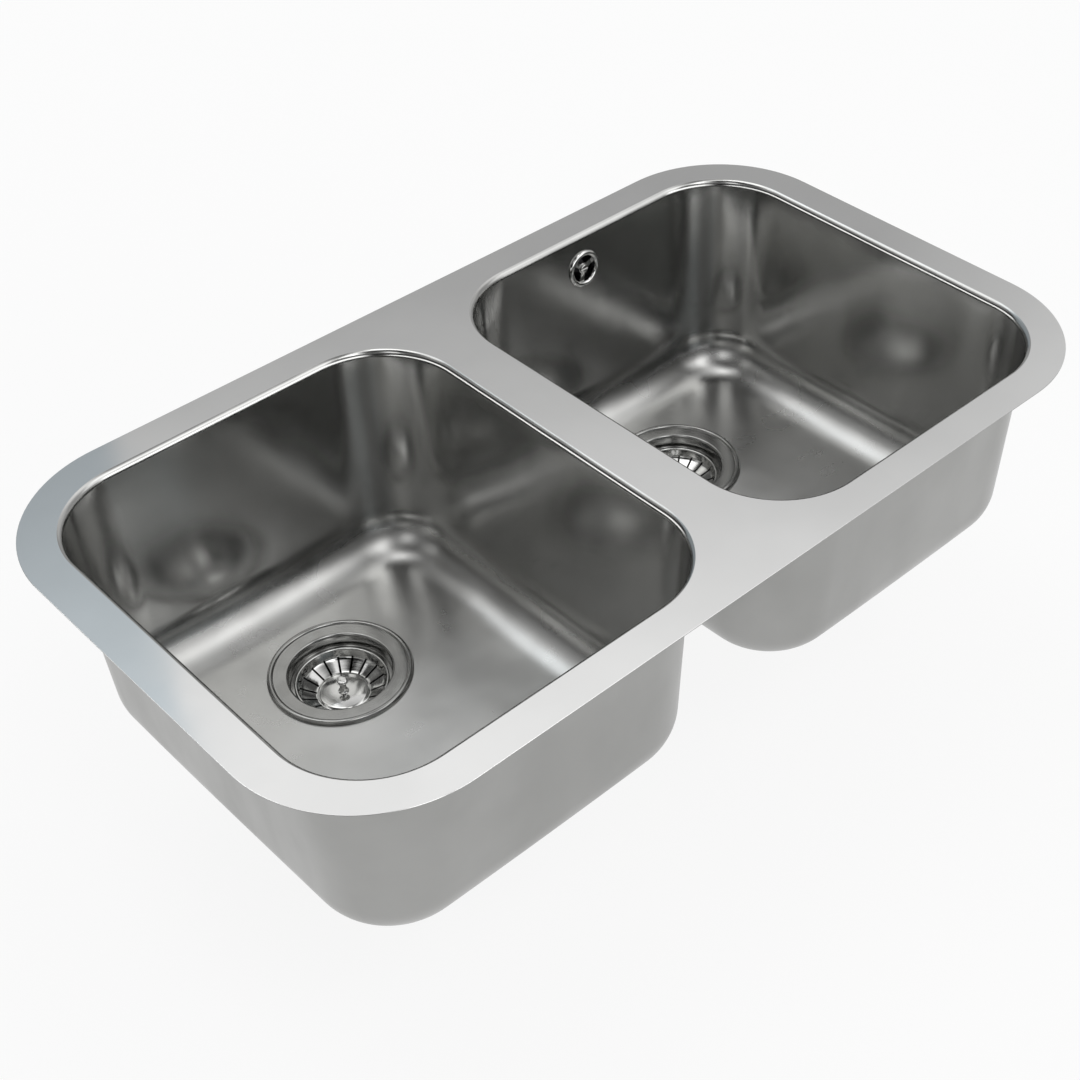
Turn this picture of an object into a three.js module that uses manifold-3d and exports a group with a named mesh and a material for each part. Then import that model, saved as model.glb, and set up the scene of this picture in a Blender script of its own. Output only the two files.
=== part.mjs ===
// A double bowl kitchen sink, held by its flat rim, with a basket strainer waste in each bowl
// and an overflow in the back wall of the right bowl.
// Millimetres. X runs along the length, Y to the back, Z up; the origin is the centre of the
// rim's top face.
import * as THREE from "three";
import { mergeVertices } from "three/addons/utils/BufferGeometryUtils.js";
import Module from "manifold-3d";

const wasm = await Module();
wasm.setup();

// Rim: the flat face round and between the two openings.
const sheet = 1;
const rimLength = 785;
const rimWidth = 452;
const rimCorner = 108;
const sideRim = 30;
const frontRim = 28.5;
const divider = 43;

// Bowls: the opening is measured where the flat rim ends.
const openingCorner = 75;
const lipRadius = 4;
const wallTaper = 0.055;
const floorFillet = 42;
const bowlDepth = 196;
const floorFall = 0.045;

// Drains: a hole's place is measured from its opening's back edge and middle.
const drainHole = 45;
const drainFromBack = 119.5;
const drainInward = 1.7;
const seatMargin = 3;

// Strainer flange and the cup that hangs from it.
const throatClearance = 2.2;
const flangeWidth = 17.2;
const flangeSealThickness = 1;
const beadRadius = 2.6;
const beadRise = 1.6;
const throatEdge = 2.4;
const throatDepth = 11;
const ledgeWidth = 4.8;
const cupDepth = 40;
const cupTaper = 7.5;
const cupConeHeight = 9;
const cupSeatHeight = 8;
const cupFoot = 3;
const cupHoleRadius = 5.6;
const cupHoleCircle = 16.5;
const cupHoleCount = 6;

// Basket, with its knob and its rubber stopper.
const basketPlay = 3.3;
const basketRise = 2.2;
const basketRoll = 1.3;
const basketWall = 0.8;
const basketDepth = 12.4;
const basketDisc = 20.5;
const discRise = 1.4;
const slotCount = 18;
const slotWidth = 1.8;
const knobHeight = 13.5;
const knobRadius = 5;
const knobHead = 4.2;
const stemRadius = 2.6;
const stopperThickness = 2;
const stopperRise = 4.4;
const stopperNutWidth = 10;
const stopperNutHeight = 4;

// Waste body under the floor, with its outlet, screw and insert.
const bodySealThickness = 3;
const bodyWall = 2.5;
const bodyUnder = 20;
const collarWidth = 10;
const collarThickness = 4;
const outletRadius = 23.9;
const outletWall = 4.4;
const outletLength = 36;
const ribThickness = 3;
const screwRadius = 3;
const screwHeadRadius = 6;
const screwHeadHeight = 3;
const insertRadius = 6;
const insertLength = 12;
const bossWall = 3;

// Overflow: its place is measured from the right opening's middle and the rim's top face.
const overflowInward = 6;
const overflowDrop = 34;
const grilleBore = 12.4;
const grilleRim = 5.1;
const grilleRise = 2.5;
const collarDepth = 3;
const collarWall = 1.6;
const spokeCount = 3;
const spokeTurn = 20;
const spokeWidth = 4.4;
const spokeThickness = 1.6;
const hubRadius = 5;
const overflowScrewRadius = 2.5;
const overflowSealThickness = 2;
const housingMargin = 4.5;
const housingWall = 2.5;
const housingBossRadius = 6;
const spigotLength = 26;
const pipeRadius = 10;
const pipeWall = 2;
const pipeDrop = 20;
const pipeBend = 82;
const nutLength = 22;
const nutWall = 3.6;
const nutGrip = 0.8;

// Clearances: parts that meet, and parts that pass one another.
const fit = 0.3;
const loose = 1.2;

// Steps of the faceted curves.
const cornerSteps = 6;
const straightStep = 85;
const lipSteps = 2;
const filletSteps = 5;
const round = 24;
const fine = 28;

const steel = { color: 0xb9b9b4, roughness: 0.38, metalness: 1 };
const polished = { color: 0xd6d6d4, roughness: 0.14, metalness: 1 };
const rubber = { color: 0x1c1c1c, roughness: 0.85, metalness: 0 };
const plastic = { color: 0x2b2b2d, roughness: 0.55, metalness: 0 };
const brass = { color: 0xb08d45, roughness: 0.35, metalness: 1 };

// Sizes that follow from those above.
const openingLength = (rimLength - 2 * sideRim - divider) / 2;
const openingWidth = rimWidth - 2 * frontRim;
const bowlAcross = (openingLength + divider) / 2;
const wallTilt = Math.atan(wallTaper);
const drainAcross = bowlAcross - drainInward;
const drainBack = openingWidth / 2 - drainFromBack;
const throatRadius = drainHole - throatClearance - sheet;
const flangeRadius = throatRadius + flangeWidth;
const drainSeat = flangeRadius + seatMargin;

// A closed solid from a geometry, for joining and cutting.
function solid(geometry) {
  const bare = geometry.clone();
  bare.deleteAttribute("normal");
  bare.deleteAttribute("uv");
  const merged = mergeVertices(bare, 1e-4);
  const mesh = new wasm.Mesh({
    numProp: 3,
    vertProperties: merged.attributes.position.array,
    triVerts: new Uint32Array(merged.index.array),
  });
  return new wasm.Manifold(mesh);
}

// A drawable geometry from a solid.
function drawn(made) {
  const mesh = made.getMesh();
  const geometry = new THREE.BufferGeometry();
  geometry.setAttribute("position", new THREE.BufferAttribute(mesh.vertProperties, 3));
  geometry.setIndex(new THREE.BufferAttribute(mesh.triVerts, 1));
  geometry.computeVertexNormals();
  return geometry;
}

// Points of an arc about [centreR, centreZ], between two angles in degrees.
function arc(centreR, centreZ, radius, from, to, steps) {
  return Array.from({ length: steps + 1 }, (_, i) => {
    const angle = THREE.MathUtils.degToRad(from + ((to - from) * i) / steps);
    return [centreR + radius * Math.cos(angle), centreZ + radius * Math.sin(angle)];
  });
}

// The closed outline of a wall: one face's path, and the other face to the left of it.
function walled(path, thickness) {
  const normals = path.slice(1).map(([r, z], i) => {
    const [fromR, fromZ] = path[i];
    const length = Math.hypot(r - fromR, z - fromZ);
    return [(fromZ - z) / length, (r - fromR) / length];
  });
  const other = path.map(([r, z], i) => {
    const [beforeR, beforeZ] = normals[Math.max(i - 1, 0)];
    const [afterR, afterZ] = normals[Math.min(i, normals.length - 1)];
    const share = thickness / (1 + beforeR * afterR + beforeZ * afterZ);
    return [r + share * (beforeR + afterR), z + share * (beforeZ + afterZ)];
  });
  return [...path, ...other.reverse()];
}

// Turns a closed outline of [radius, height] points about Z.
function turned(outline, segments = round, start = 0) {
  let area = 0;
  outline.forEach(([r, z], i) => {
    const [nextR, nextZ] = outline[(i + 1) % outline.length];
    area += r * nextZ - nextR * z;
  });
  const ordered = area > 0 ? outline : [...outline].reverse();
  const onAxis = ordered.findIndex(([r], i) => r === 0 && ordered.at(i - 1)[0] === 0);
  const shifted = onAxis < 0 ? ordered : [...ordered.slice(onAxis), ...ordered.slice(0, onAxis)];
  const closed = onAxis < 0 ? [...shifted, shifted[0]] : shifted;
  const points = closed.map(([r, z]) => new THREE.Vector2(r, z));
  const geometry = new THREE.LatheGeometry(points, segments, start);
  geometry.rotateX(Math.PI / 2);
  return geometry;
}

// A ring of square section, or a disc where inner is 0.
function ring(inner, outer, low, high, segments = round) {
  return turned([[inner, low], [outer, low], [outer, high], [inner, high]], segments);
}

// A prism with a round hole: an outline of [x, y] points between two heights.
function prism(outline, low, high, hole) {
  const shape = new THREE.Shape(outline.map(([x, y]) => new THREE.Vector2(x, y)));
  const bore = new THREE.Path();
  bore.absarc(0, 0, hole, 0, 2 * Math.PI, true);
  shape.holes.push(bore);
  const geometry = new THREE.ExtrudeGeometry(shape, {
    depth: high - low,
    bevelEnabled: false,
    curveSegments: round / 2,
  });
  return geometry.translate(0, 0, low);
}

function box(x, y, z, centre) {
  return new THREE.BoxGeometry(x, y, z).translate(...centre);
}

function hexagon(across) {
  const corner = across / 2 / Math.cos(Math.PI / 6);
  return arc(0, 0, corner, 0, 300, 5);
}

const sink = new THREE.Group();

function add(parent, name, geometry, finish) {
  const mesh = new THREE.Mesh(geometry, new THREE.MeshStandardMaterial(finish));
  mesh.name = name;
  parent.add(mesh);
}

// ---------------------------------------------------------------- sheet metal

// Points round a rounded rectangle, each with its inward normal.
function roundedOutline(length, width, corner, centreX = 0) {
  const points = [];
  const ends = [[1, 1], [-1, 1], [-1, -1], [1, -1]];
  ends.forEach(([sideX, sideY], quarter) => {
    const cornerX = centreX + sideX * (length / 2 - corner);
    const cornerY = sideY * (width / 2 - corner);
    for (let i = 0; i <= cornerSteps; i++) {
      const angle = (quarter + i / cornerSteps) * (Math.PI / 2);
      const [outX, outY] = [Math.cos(angle), Math.sin(angle)];
      points.push({ x: cornerX + corner * outX, y: cornerY + corner * outY, nx: -outX, ny: -outY });
    }
    const from = points.at(-1);
    const [nextX, nextY] = ends[(quarter + 1) % 4];
    const toX = centreX + nextX * (length / 2 - corner) + corner * -from.nx;
    const toY = nextY * (width / 2 - corner) + corner * -from.ny;
    const steps = Math.ceil(Math.hypot(toX - from.x, toY - from.y) / straightStep);
    for (let i = 1; i < steps; i++) {
      const share = i / steps;
      const x = from.x + (toX - from.x) * share;
      const y = from.y + (toY - from.y) * share;
      points.push({ x, y, nx: from.nx, ny: from.ny });
    }
  });
  return points;
}

function openingOutline(side) {
  return roundedOutline(openingLength, openingWidth, openingCorner, side * bowlAcross);
}

// One skin of a bowl, as the path of [inset, height] from the rim's edge to the drain hole that
// starts at one outline point. skin is 0 inside and the sheet thickness outside.
function bowlPath(point, drain, skin) {
  const lip = lipRadius - skin;
  const fillet = floorFillet + skin;
  const lipEnd = {
    inset: lipRadius * Math.cos(wallTilt),
    z: -lipRadius + lipRadius * Math.sin(wallTilt),
  };
  const filletLast = Math.PI / 2 - Math.atan(floorFall);
  let centreZ = -bowlDepth + floorFillet;
  let centreInset = 0;
  // The floor is a cone about the drain, so the fillet's height depends on where its edge lies.
  for (let pass = 0; pass < 4; pass++) {
    const startZ = centreZ - floorFillet * Math.sin(wallTilt);
    const startInset = lipEnd.inset + wallTaper * (lipEnd.z - startZ);
    centreInset = startInset + floorFillet * Math.cos(wallTilt);
    const edgeInset = centreInset - floorFillet * Math.cos(filletLast);
    const toEdge = Math.hypot(point.x + point.nx * edgeInset - drain.x,
      point.y + point.ny * edgeInset - drain.y);
    const edgeZ = -bowlDepth + floorFall * (toEdge - drainSeat);
    centreZ = edgeZ + floorFillet * Math.sin(filletLast);
  }
  const path = [];
  for (let i = 0; i <= lipSteps; i++) {
    const angle = ((Math.PI / 2 - wallTilt) * i) / lipSteps;
    path.push([lip * Math.sin(angle), -lipRadius + lip * Math.cos(angle)]);
  }
  for (let i = 0; i <= filletSteps; i++) {
    const angle = wallTilt + ((filletLast - wallTilt) * i) / filletSteps;
    path.push([centreInset - fillet * Math.cos(angle), centreZ - fillet * Math.sin(angle)]);
  }
  return path;
}

function bowl(side) {
  const drain = { x: side * drainAcross, y: drainBack };
  // Each column runs down the inner skin to near the drain's centre and back up the outer skin.
  const columns = openingOutline(side).map((point) => {
    const skinPoints = (skin) => {
      const walls = bowlPath(point, drain, skin).map(([inset, z]) =>
        [point.x + point.nx * inset, point.y + point.ny * inset, z]);
      const [edgeX, edgeY] = walls.at(-1);
      const toEdge = Math.hypot(edgeX - drain.x, edgeY - drain.y);
      const towards = (radius) => [
        drain.x + ((edgeX - drain.x) * radius) / toEdge,
        drain.y + ((edgeY - drain.y) * radius) / toEdge,
        -bowlDepth - skin,
      ];
      return [...walls, towards(drainSeat), towards(drainHole / 2)];
    };
    return [...skinPoints(0), ...skinPoints(sheet).reverse()];
  });
  const rows = columns[0].length;
  const index = [];
  columns.forEach((_, i) => {
    const next = (i + 1) % columns.length;
    for (let row = 0; row < rows; row++) {
      const below = (row + 1) % rows;
      const [a, b] = [i * rows + row, next * rows + row];
      const [c, d] = [next * rows + below, i * rows + below];
      index.push(a, b, c, a, c, d);
    }
  });
  const geometry = new THREE.BufferGeometry();
  geometry.setAttribute("position", new THREE.Float32BufferAttribute(columns.flat(2), 3));
  geometry.setIndex(index);
  const hole = ring(0, drainHole, -bowlDepth - 2 * sheet, -bowlDepth + sheet);
  hole.translate(drain.x, drain.y, 0);
  return solid(geometry).subtract(solid(hole));
}

function rimPlate() {
  const path = (points) => points.map(({ x, y }) => new THREE.Vector2(x, y));
  const shape = new THREE.Shape(path(roundedOutline(rimLength, rimWidth, rimCorner)));
  for (const side of [-1, 1]) {
    shape.holes.push(new THREE.Path(path(openingOutline(side))));
  }
  const plate = new THREE.ExtrudeGeometry(shape, { depth: sheet, bevelEnabled: false });
  return plate.translate(0, 0, -sheet);
}

// ---------------------------------------------------------------- strainer waste
// Heights in this section are above the sink floor at the drain.

const flangeTop = flangeSealThickness + sheet;
const cupRadius = throatRadius - ledgeWidth;
const cupSeatRadius = cupRadius - cupTaper;
const cupFloor = -cupDepth;
const basketRadius = throatRadius - basketPlay;
const basketRimTop = -throatDepth + basketRise;
const discTop = basketRimTop - basketDepth;
const stopperTop = discTop - basketWall - fit;
const stopperFoot = cupFloor + stopperRise;
const stopperNutTop = stopperTop - stopperThickness - fit;
const bodyTop = -sheet - bodySealThickness;
const bodyBottom = cupFloor - bodyUnder;
const bellRadius = throatRadius + sheet + loose + bodyWall;
const insertTop = cupFloor - sheet - fit;
const inletEnd = drainHole + collarWidth + spigotLength;

// The pressed flange with its rolled bead, and the cup that hangs from it.
function strainerFlange() {
  const beadZ = flangeTop + beadRise - beadRadius;
  const beadStart = -THREE.MathUtils.radToDeg(Math.asin((beadZ - fit) / beadRadius));
  const beadEnd = 180 - THREE.MathUtils.radToDeg(Math.asin((flangeTop - beadZ) / beadRadius));
  const foot = cupFloor + cupFoot;
  const path = [
    ...arc(flangeRadius - beadRadius, beadZ, beadRadius, beadStart, beadEnd, 4),
    ...arc(throatRadius + throatEdge, flangeTop - throatEdge, throatEdge, 90, 180, 2),
    [throatRadius, -throatDepth],
    [cupRadius, -throatDepth],
    [cupRadius, cupFloor + cupSeatHeight + cupConeHeight],
    [cupSeatRadius, cupFloor + cupSeatHeight],
    ...arc(cupSeatRadius - cupFoot, foot, cupFoot, 0, -90, 1),
    [screwRadius + fit, cupFloor],
  ];
  let made = solid(turned(walled(path, sheet), fine));
  for (let i = 0; i < cupHoleCount; i++) {
    const angle = (i * 2 * Math.PI) / cupHoleCount;
    const hole = ring(0, cupHoleRadius, cupFloor - 2 * sheet, cupFloor + sheet, 8);
    hole.translate(cupHoleCircle * Math.cos(angle), cupHoleCircle * Math.sin(angle), 0);
    made = made.subtract(solid(hole));
  }
  return drawn(made);
}

// The basket: a rolled rim, a short wall, a sloping slotted ring and a raised disc.
function basket() {
  const foot = discTop - discRise;
  const rollZ = basketRimTop - basketRoll;
  const wallRadius = basketRadius - 2 * basketRoll;
  const shoulder = { r: wallRadius - 3.4, z: foot + 4.9 };
  const path = [
    [basketRadius, -throatDepth + fit],
    ...arc(basketRadius - basketRoll, rollZ, basketRoll, 0, 180, 2),
    [wallRadius - 1.2, shoulder.z + 2.1],
    [shoulder.r, shoulder.z],
    [basketDisc + discRise, foot],
    [basketDisc - discRise, discTop],
    [stemRadius + fit, discTop],
  ];
  const outline = walled(path, basketWall);
  let made = solid(turned(outline, 2 * slotCount, Math.PI / (2 * slotCount)));
  const slotInner = basketDisc + discRise;
  const slotOuter = wallRadius + basketWall;
  const slotTop = shoulder.z + 1.9;
  const slotHeight = slotTop - foot + 2 * basketWall;
  for (let i = 0; i < slotCount; i++) {
    const centre = [(slotInner + slotOuter) / 2, 0, slotTop - slotHeight / 2];
    const slot = box(slotOuter - slotInner, slotWidth, slotHeight, centre);
    slot.rotateZ((i * 2 * Math.PI) / slotCount);
    made = made.subtract(solid(slot));
  }
  return drawn(made);
}

// The knob on its stem, which passes through the disc, the rubber and the nut.
function basketKnob() {
  const crown = discTop + knobHeight;
  const headEdge = 2;
  const neck = crown - knobHead;
  const tip = stopperNutTop - stopperNutHeight - 1;
  return turned([
    [0, crown],
    ...arc(knobRadius - headEdge, crown - headEdge, headEdge, 90, 0, 2),
    [knobRadius, neck + 1.2],
    [stemRadius + 0.6, neck],
    [stemRadius, neck - 0.8],
    [stemRadius, discTop + 2.4],
    [stemRadius + 1.8, discTop + fit],
    [stemRadius, discTop + fit],
    [stemRadius, tip],
    [0, tip],
  ], 16);
}

// The rubber cup under the basket; its lip closes on the cup's seat.
function stopperSeal() {
  const lip = cupSeatRadius - fit;
  const path = [
    [lip, stopperFoot],
    [lip, stopperFoot + stopperThickness],
    [basketDisc - 3, stopperTop],
    [stemRadius + fit, stopperTop],
  ];
  return turned(walled(path, stopperThickness));
}

// A screw with a slot across its head; the head's foot is at seat and its shank ends at tip.
function slottedScrew(shankRadius, headRadius, headHeight, seat, tip) {
  const crown = seat + headHeight;
  const slotDepth = headHeight / 2;
  const shank = turned([
    [0, crown],
    [headRadius - slotDepth, crown],
    [headRadius, crown - slotDepth],
    [headRadius, seat],
    [shankRadius, seat],
    [shankRadius, tip],
    [0, tip],
  ], 16);
  const slot = box(3 * headRadius, 1.2, 2 * slotDepth, [0, 0, crown]);
  return drawn(solid(shank).subtract(solid(slot)));
}

// The body under the sink: a collar, a bell round the cup, the outlet and, on four ribs, the
// boss that holds the screw's insert. inlet adds the overflow's spigot at the back.
function wasteBody(inlet) {
  const collar = drainHole + collarWidth;
  const coneTop = cupFloor + 10;
  const coneFoot = bodyBottom + 10;
  const coneIn = bellRadius - 8;
  const bellInner = bellRadius - bodyWall;
  const coneInner = coneIn - bodyWall;
  const outletEnd = bodyBottom - outletLength;
  const outletBore = outletRadius - outletWall;
  let made = solid(turned([
    [collar, bodyTop],
    [collar, bodyTop - collarThickness],
    [bellRadius, bodyTop - collarThickness - 2],
    [bellRadius, coneTop],
    [coneIn, coneFoot],
    [outletRadius + 2, bodyBottom],
    [outletRadius, bodyBottom - 2],
    [outletRadius, outletEnd],
    [outletBore, outletEnd],
    [outletBore, bodyBottom],
    [outletRadius, bodyBottom + 4],
    [coneInner, coneFoot + bodyWall],
    [bellInner, coneTop],
    [bellInner, bodyTop],
  ]));
  const ribTop = insertTop - 1;
  const ribFoot = bodyBottom + 2;
  const ribMiddle = [0, 0, (ribTop + ribFoot) / 2];
  const ribs = solid(box(2 * bellInner, ribThickness, ribTop - ribFoot, ribMiddle))
    .add(solid(box(ribThickness, 2 * bellInner, ribTop - ribFoot, ribMiddle)));
  const reach = bodyWall / 2;
  const inside = solid(turned([
    [0, coneTop],
    [bellInner + reach, coneTop],
    [coneInner + reach, coneFoot],
    [outletRadius, bodyBottom + 1],
    [0, bodyBottom + 1],
  ]));
  made = made.add(ribs.intersect(inside));
  const socket = insertRadius + fit;
  const socketFoot = insertTop - insertLength - fit;
  made = made.add(solid(ring(0, socket + bossWall, ribFoot, insertTop)));
  made = made.subtract(solid(ring(0, socket, socketFoot, insertTop + 1)));
  if (inlet) {
    const spigot = (low, high, radius) => {
      const tube = ring(0, radius, low, high);
      tube.rotateX(-Math.PI / 2);
      return solid(tube.translate(0, 0, -pipeDrop));
    };
    made = made.add(spigot(bellRadius - reach, inletEnd, pipeRadius));
    made = made.subtract(spigot(bellInner - bodyWall, inletEnd + 1, pipeRadius - pipeWall));
  }
  return drawn(made);
}

function strainerWaste(side, label) {
  const waste = new THREE.Group();
  waste.position.set(side * drainAcross, drainBack, -bowlDepth);
  sink.add(waste);
  add(waste, label + "_strainer_flange", strainerFlange(), steel);
  const sealInner = drainHole + loose;
  const flangeSealOuter = flangeRadius - 2 * beadRadius - loose;
  const flangeSeal = ring(sealInner, flangeSealOuter, 0, flangeSealThickness);
  add(waste, label + "_flange_seal", flangeSeal, rubber);
  const bodySealOuter = drainHole + collarWidth - loose;
  const bodySeal = ring(sealInner, bodySealOuter, bodyTop, -sheet);
  add(waste, label + "_body_seal", bodySeal, rubber);
  add(waste, label + "_waste_body", wasteBody(side > 0), plastic);
  const tip = insertTop - insertLength + 1;
  const screw = slottedScrew(screwRadius, screwHeadRadius, screwHeadHeight, cupFloor, tip);
  add(waste, label + "_centre_screw", screw, polished);
  const insert = ring(screwRadius + fit, insertRadius, insertTop - insertLength, insertTop);
  add(waste, label + "_screw_insert", insert, brass);
  add(waste, label + "_basket", basket(), polished);
  add(waste, label + "_basket_knob", basketKnob(), polished);
  add(waste, label + "_stopper_seal", stopperSeal(), rubber);
  const nut = prism(hexagon(stopperNutWidth), stopperNutTop - stopperNutHeight, stopperNutTop,
    stemRadius + fit);
  add(waste, label + "_stopper_nut", nut, polished);
}

// ---------------------------------------------------------------- overflow
// Its group lies on the back wall's inner face, with local Z out of the wall and local Y up it.

const overflowAcross = bowlAcross - overflowInward;
const wallTop = openingWidth / 2 - lipRadius * Math.cos(wallTilt);
const overflowBack = wallTop - wallTaper * (overflowDrop - lipRadius * (1 - Math.sin(wallTilt)));
const grilleRadius = grilleBore + grilleRim;
const collarRadius = grilleBore + collarWall;
const housingRadius = grilleRadius + housingMargin;
const housingFace = -sheet - fit - overflowSealThickness;
const spigotAxis = -sheet - loose - pipeRadius - nutWall;
const housingBack = spigotAxis - pipeRadius - 1;
const spigotEnd = -housingRadius - spigotLength;

// Moves a geometry from the overflow's frame to the sink's.
function onBackWall(geometry) {
  geometry.rotateX(Math.PI / 2 - wallTilt);
  return geometry.translate(overflowAcross, overflowBack, -overflowDrop);
}

// A ring with a rounded face, a collar through the wall, and spokes to a hub.
function overflowGrille() {
  const crown = grilleRim / 2;
  const face = Array.from({ length: 6 }, (_, i) => {
    const angle = (i * Math.PI) / 5;
    const rise = (grilleRise - fit) * Math.sin(angle);
    return [grilleBore + crown + crown * Math.cos(angle), fit + rise];
  });
  let made = solid(turned([
    ...face,
    [grilleBore, -collarDepth],
    [collarRadius, -collarDepth],
    [collarRadius, fit],
  ], fine));
  const spokeReach = grilleBore + collarWall / 2;
  for (let i = 0; i < spokeCount; i++) {
    const centre = [spokeReach / 2, 0, -spokeThickness];
    const spoke = box(spokeReach, spokeWidth, spokeThickness, centre);
    spoke.rotateZ(THREE.MathUtils.degToRad(spokeTurn) + (i * 2 * Math.PI) / spokeCount);
    made = made.add(solid(spoke));
  }
  made = made.add(solid(ring(0, hubRadius, -1.6 * spokeThickness, -fit, 18)));
  made = made.subtract(solid(ring(0, overflowScrewRadius + fit, -collarDepth, fit, 18)));
  return drawn(made);
}

// The housing behind the wall: a shallow pot, its screw boss and a spigot that points down.
function overflowHousing() {
  const floor = housingBack + housingWall;
  const down = (radius, from, to) => {
    const tube = ring(0, radius, from, to);
    tube.rotateX(Math.PI / 2);
    return solid(tube.translate(0, 0, spigotAxis));
  };
  const spigotTop = housingRadius - 3 * housingWall;
  let made = solid(ring(0, housingRadius, housingBack, housingFace));
  made = made.add(down(pipeRadius, spigotTop, -spigotEnd));
  made = made.subtract(solid(ring(0, housingRadius - housingWall, floor, housingFace + 1)));
  made = made.subtract(down(pipeRadius - pipeWall, spigotTop, -spigotEnd + 1));
  made = made.add(solid(ring(0, housingBossRadius, floor - 0.5, housingFace - 3, 18)));
  const screwHole = ring(0, overflowScrewRadius + fit, floor + 0.5, housingFace, 18);
  return drawn(made.subtract(solid(screwHole)));
}

// A gripped nut round the joint of a spigot and the pipe, along Y.
function pipeNut() {
  const gripCount = 24;
  const grips = Array.from({ length: gripCount }, (_, i) => {
    const radius = pipeRadius + nutWall - (i % 2 ? nutGrip : 0);
    const angle = (i * 2 * Math.PI) / gripCount;
    return [radius * Math.cos(angle), radius * Math.sin(angle)];
  });
  const nut = prism(grips, -nutLength / 2, nutLength / 2, pipeRadius + fit);
  return nut.rotateX(Math.PI / 2);
}

// The pipe runs down behind the bowl and forward to the waste body's inlet.
function overflowPipe(end) {
  const frame = new THREE.Matrix4().makeRotationX(Math.PI / 2 - wallTilt);
  frame.setPosition(overflowAcross, overflowBack, -overflowDrop);
  const along = (length) =>
    new THREE.Vector3(0, spigotEnd - fit - length, spigotAxis).applyMatrix4(frame);
  const behind = (length) => end.clone().add(new THREE.Vector3(0, length, 0));
  const route = new THREE.CurvePath();
  route.add(new THREE.LineCurve3(along(0), along(nutLength)));
  route.add(new THREE.CubicBezierCurve3(
    along(nutLength), along(nutLength + pipeBend), behind(nutLength + pipeBend / 3),
    behind(nutLength)));
  route.add(new THREE.LineCurve3(behind(nutLength), end));
  const section = new THREE.Shape();
  section.absarc(0, 0, pipeRadius, 0, 2 * Math.PI);
  const bore = new THREE.Path();
  bore.absarc(0, 0, pipeRadius - pipeWall, 0, 2 * Math.PI, true);
  section.holes.push(bore);
  return new THREE.ExtrudeGeometry(section, {
    steps: 16,
    curveSegments: 5,
    bevelEnabled: false,
    extrudePath: route,
  });
}

function overflow() {
  add(sink, "overflow_grille", onBackWall(overflowGrille()), polished);
  const screwSeat = 0;
  const screwTip = housingBack + 2 * housingWall;
  const screw = slottedScrew(overflowScrewRadius, 4, 1.6, screwSeat, screwTip);
  add(sink, "overflow_screw", onBackWall(screw), polished);
  const seal = ring(collarRadius + loose, housingRadius, housingFace, -sheet - fit);
  add(sink, "overflow_seal", onBackWall(seal), rubber);
  add(sink, "overflow_housing", onBackWall(overflowHousing()), plastic);
  const topNut = pipeNut().translate(0, spigotEnd, spigotAxis);
  add(sink, "overflow_top_nut", onBackWall(topNut), plastic);
  const joint = new THREE.Vector3(drainAcross, drainBack + inletEnd + fit, -bowlDepth - pipeDrop);
  add(sink, "overflow_pipe", overflowPipe(joint), plastic);
  const bottomNut = pipeNut().translate(joint.x, joint.y, joint.z);
  add(sink, "overflow_bottom_nut", bottomNut, plastic);
}

// The right bowl, with the overflow's hole through its back wall.
function holedBowl() {
  const drill = onBackWall(ring(0, collarRadius + 2 * fit, -2 * sheet, sheet));
  return bowl(1).subtract(solid(drill));
}

add(sink, "rim_plate", rimPlate(), steel);
add(sink, "left_bowl", drawn(bowl(-1)), steel);
add(sink, "right_bowl", drawn(holedBowl()), steel);
strainerWaste(-1, "left");
strainerWaste(1, "right");
overflow();

export default sink;
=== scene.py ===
"""A double bowl kitchen sink in satin stainless steel, seen from its front left corner."""

import math

import bmesh
import bpy
import numpy as np
from mathutils import Euler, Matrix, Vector
from mathutils.geometry import tessellate_polygon


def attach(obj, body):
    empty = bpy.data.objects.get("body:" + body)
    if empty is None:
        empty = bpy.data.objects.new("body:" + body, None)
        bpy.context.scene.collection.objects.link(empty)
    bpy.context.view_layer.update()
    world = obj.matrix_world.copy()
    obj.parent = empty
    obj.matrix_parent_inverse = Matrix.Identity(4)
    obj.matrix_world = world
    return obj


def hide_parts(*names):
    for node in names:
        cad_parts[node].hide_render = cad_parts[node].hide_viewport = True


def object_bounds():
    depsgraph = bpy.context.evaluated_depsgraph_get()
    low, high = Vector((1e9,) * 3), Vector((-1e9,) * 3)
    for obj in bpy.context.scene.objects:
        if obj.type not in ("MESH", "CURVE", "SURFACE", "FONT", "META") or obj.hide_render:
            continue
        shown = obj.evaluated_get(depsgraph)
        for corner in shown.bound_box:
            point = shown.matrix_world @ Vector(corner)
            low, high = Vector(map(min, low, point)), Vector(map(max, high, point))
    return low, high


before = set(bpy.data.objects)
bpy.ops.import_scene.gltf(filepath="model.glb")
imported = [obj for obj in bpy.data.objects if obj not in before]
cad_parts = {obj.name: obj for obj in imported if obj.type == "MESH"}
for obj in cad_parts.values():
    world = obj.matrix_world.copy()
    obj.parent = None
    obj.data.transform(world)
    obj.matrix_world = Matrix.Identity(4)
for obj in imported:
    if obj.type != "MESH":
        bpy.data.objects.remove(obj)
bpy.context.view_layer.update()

# ------------------------------------------------------------------ sizes, in millimetres

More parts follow.
